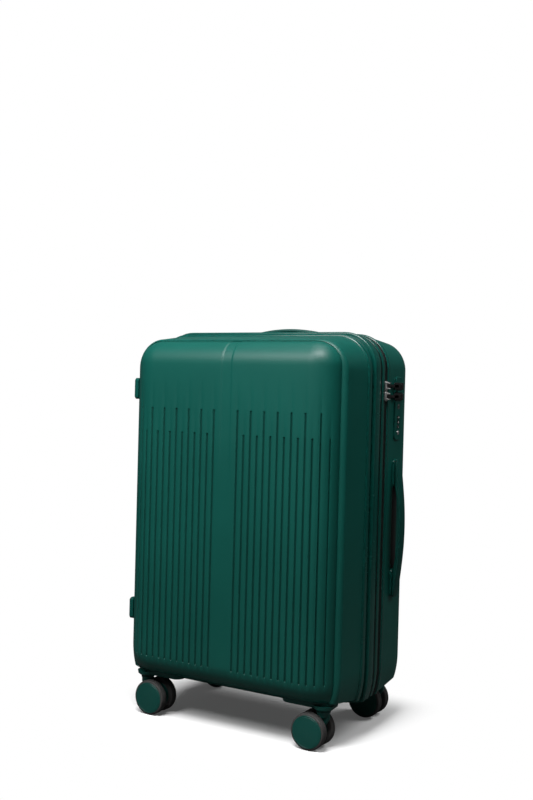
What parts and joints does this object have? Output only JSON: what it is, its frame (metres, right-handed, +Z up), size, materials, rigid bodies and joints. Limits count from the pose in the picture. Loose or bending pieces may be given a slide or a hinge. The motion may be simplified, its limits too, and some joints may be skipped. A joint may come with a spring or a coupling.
{
  "type": "hard shell suitcase on wheels",
  "caption": "Upright hard shell suitcase with grooved panels, expanding zip, combination lock, pull-out trolley handle, carry handles and twin swivel casters.",
  "frame": {"origin": "on the floor, under the middle of the closed case", "axes": "+X to the right seen from the front, +Y from the front to the back, +Z up"},
  "size_m": [0.4418, 0.285, 0.6771],
  "materials": {
    "shell": "satin moulded polycarbonate",
    "trim": "gloss moulded edge",
    "zip": "coil zip on woven tape",
    "zip_metal": "gunmetal plating",
    "lining": "plain woven polyester",
    "webbing": "flat webbing",
    "mesh": "knitted mesh",
    "black_plastic": "fine grain",
    "green_plastic": "satin",
    "handle_grip": "soft touch",
    "tube_metal": "anodised",
    "dial": "satin black",
    "lock_metal": "satin",
    "caster_plastic": "satin",
    "axle_steel": "ground",
    "tyre": "soft tread"
  },
  "bodies": {
    "back_half": {"back_shell": "shell", "back_trim": "trim", "main_zip_back": "zip", "back_lining": "lining", "packing_straps": "webbing", "strap_buckle": "black_plastic", "trolley_bezel": "green_plastic", "trolley_outer_tubes": "tube_metal", "trolley_foot": "black_plastic", "lock_housing": "green_plastic", "top_handle_mounts": "green_plastic", "side_handle_mounts": "green_plastic", "back_caster_plates": "green_plastic", "back_side_feet": "green_plastic", "hinge_tape": "lining"},
    "lid_frame": {"expander_strip": "trim", "main_zip_front": "zip", "expansion_zip_back": "zip", "expansion_gusset": "lining"},
    "front_half": {"front_shell": "shell", "front_trim": "trim", "front_band": "trim", "expansion_zip_front": "zip", "front_lining": "lining", "mesh_pocket": "mesh", "front_caster_plates": "green_plastic", "front_side_feet": "green_plastic"},
    "trolley_stage_1": {"trolley_middle_tubes": "tube_metal"},
    "trolley_stage_2": {"trolley_inner_tubes": "tube_metal", "trolley_grip": "handle_grip"},
    "trolley_button": {"trolley_button": "handle_grip"},
    "top_handle": {"top_handle": "handle_grip"},
    "side_handle": {"side_handle": "handle_grip"},
    "lock_dial_1": {"lock_dial_1": "dial"},
    "lock_dial_2": {"lock_dial_2": "dial"},
    "lock_dial_3": {"lock_dial_3": "dial"},
    "lock_button": {"lock_button": "black_plastic"},
    "key_cylinder": {"key_cylinder": "lock_metal"},
    "zip_slider_upper": {"zip_slider_upper": "zip_metal"},
    "zip_slider_lower": {"zip_slider_lower": "zip_metal"},
    "pull_tab_upper": {"pull_tab_upper": "zip_metal"},
    "pull_tab_lower": {"pull_tab_lower": "zip_metal"},
    "front_left_caster": {"front_left_fork": "caster_plastic"},
    "front_left_wheels": {"front_left_axle": "axle_steel", "front_left_wheel_hubs": "caster_plastic", "front_left_tyres": "tyre"},
    "front_right_caster": {"front_right_fork": "caster_plastic"},
    "front_right_wheels": {"front_right_axle": "axle_steel", "front_right_wheel_hubs": "caster_plastic", "front_right_tyres": "tyre"},
    "back_left_caster": {"back_left_fork": "caster_plastic"},
    "back_left_wheels": {"back_left_axle": "axle_steel", "back_left_wheel_hubs": "caster_plastic", "back_left_tyres": "tyre"},
    "back_right_caster": {"back_right_fork": "caster_plastic"},
    "back_right_wheels": {"back_right_axle": "axle_steel", "back_right_wheel_hubs": "caster_plastic", "back_right_tyres": "tyre"}
  },
  "joints": [
    {"name": "lid_hinge", "type": "hinge", "parent": "back_half", "child": "lid_frame", "pos_m": [-0.2145, 0.0195, 0.36], "axis": [0, 0, -1], "range_deg": [0, 180], "deforming": ["hinge_tape"]},
    {"name": "expansion_slide", "type": "slide", "parent": "lid_frame", "child": "front_half", "axis": [0, -1, 0], "range_m": [0, 0.035], "deforming": ["expansion_gusset"]},
    {"name": "trolley_lower_stage", "type": "slide", "parent": "back_half", "child": "trolley_stage_1", "axis": [0, 0, 1], "range_m": [0, 0.19]},
    {"name": "trolley_upper_stage", "type": "slide", "parent": "trolley_stage_1", "child": "trolley_stage_2", "axis": [0, 0, 1], "range_m": [0, 0.19]},
    {"name": "trolley_button_press", "type": "slide", "parent": "trolley_stage_2", "child": "trolley_button", "axis": [0, 0, -1], "range_m": [0, 0.0025], "stiffness_N_per_m": 400},
    {"name": "top_handle_lift", "type": "slide", "parent": "back_half", "child": "top_handle", "axis": [0, 0, 1], "range_m": [0, 0.01], "stiffness_N_per_m": 300},
    {"name": "side_handle_pull", "type": "slide", "parent": "back_half", "child": "side_handle", "axis": [1, 0, 0], "range_m": [0, 0.01], "stiffness_N_per_m": 300},
    {"name": "lock_button_press", "type": "slide", "parent": "back_half", "child": "lock_button", "axis": [-1, 0, 0], "range_m": [0, 0.0015], "stiffness_N_per_m": 300},
    {"name": "key_turn", "type": "hinge", "parent": "back_half", "child": "key_cylinder", "pos_m": [0.21171, 0.0715, 0.5445], "axis": [1, 0, 0], "range_deg": [0, 90]},
    {"name": "dial_1_turn", "type": "hinge", "parent": "back_half", "child": "lock_dial_1", "pos_m": [0.20472, 0.0715, 0.5256], "axis": [0, 0, 1], "continuous": true},
    {"name": "dial_2_turn", "type": "hinge", "parent": "back_half", "child": "lock_dial_2", "pos_m": [0.20472, 0.0715, 0.5179], "axis": [0, 0, 1], "continuous": true},
    {"name": "dial_3_turn", "type": "hinge", "parent": "back_half", "child": "lock_dial_3", "pos_m": [0.20472, 0.0715, 0.5102], "axis": [0, 0, 1], "continuous": true},
    {"name": "zip_slide_upper", "type": "slide", "parent": "back_half", "child": "zip_slider_upper", "axis": [0, 0, 1], "range_m": [0, 0.012]},
    {"name": "pull_tab_upper_swing", "type": "hinge", "parent": "zip_slider_upper", "child": "pull_tab_upper", "pos_m": [0.216, 0.0195, 0.5788], "axis": [0, 0, -1], "range_deg": [0, 120]},
    {"name": "zip_slide_lower", "type": "slide", "parent": "back_half", "child": "zip_slider_lower", "axis": [0, 0, -1], "range_m": [0, 0.075]},
    {"name": "pull_tab_lower_swing", "type": "hinge", "parent": "zip_slider_lower", "child": "pull_tab_lower", "pos_m": [0.216, 0.0195, 0.5612], "axis": [0, 0, -1], "range_deg": [0, 120]},
    {"name": "front_left_swivel", "type": "hinge", "parent": "front_half", "child": "front_left_caster", "pos_m": [-0.174, -0.1025, 0.06], "axis": [0, 0, 1], "continuous": true},
    {"name": "front_left_roll", "type": "hinge", "parent": "front_left_caster", "child": "front_left_wheels", "pos_m": [-0.156, -0.1025, 0.0295], "axis": [0, 1, 0], "continuous": true},
    {"name": "front_right_swivel", "type": "hinge", "parent": "front_half", "child": "front_right_caster", "pos_m": [0.174, -0.1025, 0.06], "axis": [0, 0, 1], "continuous": true},
    {"name": "front_right_roll", "type": "hinge", "parent": "front_right_caster", "child": "front_right_wheels", "pos_m": [0.156, -0.1025, 0.0295], "axis": [0, 1, 0], "continuous": true},
    {"name": "back_left_swivel", "type": "hinge", "parent": "back_half", "child": "back_left_caster", "pos_m": [-0.174, 0.1025, 0.06], "axis": [0, 0, 1], "continuous": true},
    {"name": "back_left_roll", "type": "hinge", "parent": "back_left_caster", "child": "back_left_wheels", "pos_m": [-0.156, 0.1025, 0.0295], "axis": [0, 1, 0], "continuous": true},
    {"name": "back_right_swivel", "type": "hinge", "parent": "back_half", "child": "back_right_caster", "pos_m": [0.174, 0.1025, 0.06], "axis": [0, 0, 1], "continuous": true},
    {"name": "back_right_roll", "type": "hinge", "parent": "back_right_caster", "child": "back_right_wheels", "pos_m": [0.156, 0.1025, 0.0295], "axis": [0, 1, 0], "continuous": true}
  ],
  "couplings": [
    {"joint": "trolley_upper_stage", "follows": "trolley_lower_stage", "ratio": 1}
  ]
}
